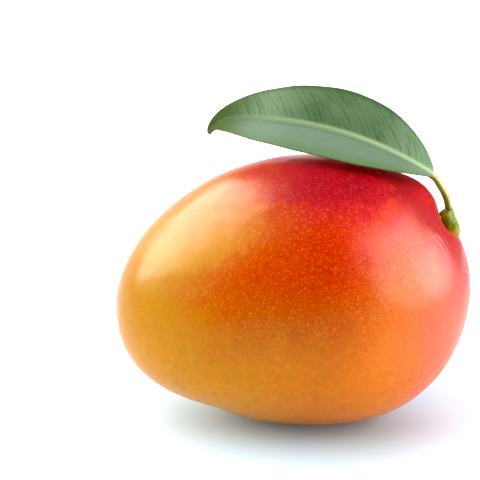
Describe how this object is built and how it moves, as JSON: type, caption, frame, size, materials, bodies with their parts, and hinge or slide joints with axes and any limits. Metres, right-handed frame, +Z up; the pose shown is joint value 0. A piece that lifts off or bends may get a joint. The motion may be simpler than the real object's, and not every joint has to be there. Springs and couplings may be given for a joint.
{
  "type": "mango with stalk and leaf",
  "caption": "Ripe red and yellow mango resting on its lower edge, with a cut stub of fruit stalk and one waxy green leaf arching over the fruit.",
  "frame": {"origin": "centre of the small flat spot that the fruit rests on", "axes": "+X from the beak towards the stem end, +Y towards the back cheek, +Z up from the resting surface"},
  "size_m": [0.1197, 0.0866, 0.1137],
  "materials": {
    "skin": "satin",
    "stalk": "matte",
    "leaf": "satin"
  },
  "bodies": {
    "root": {"fruit": "skin", "stem": "stalk", "leaf": "leaf"}
  },
  "joints": []
}
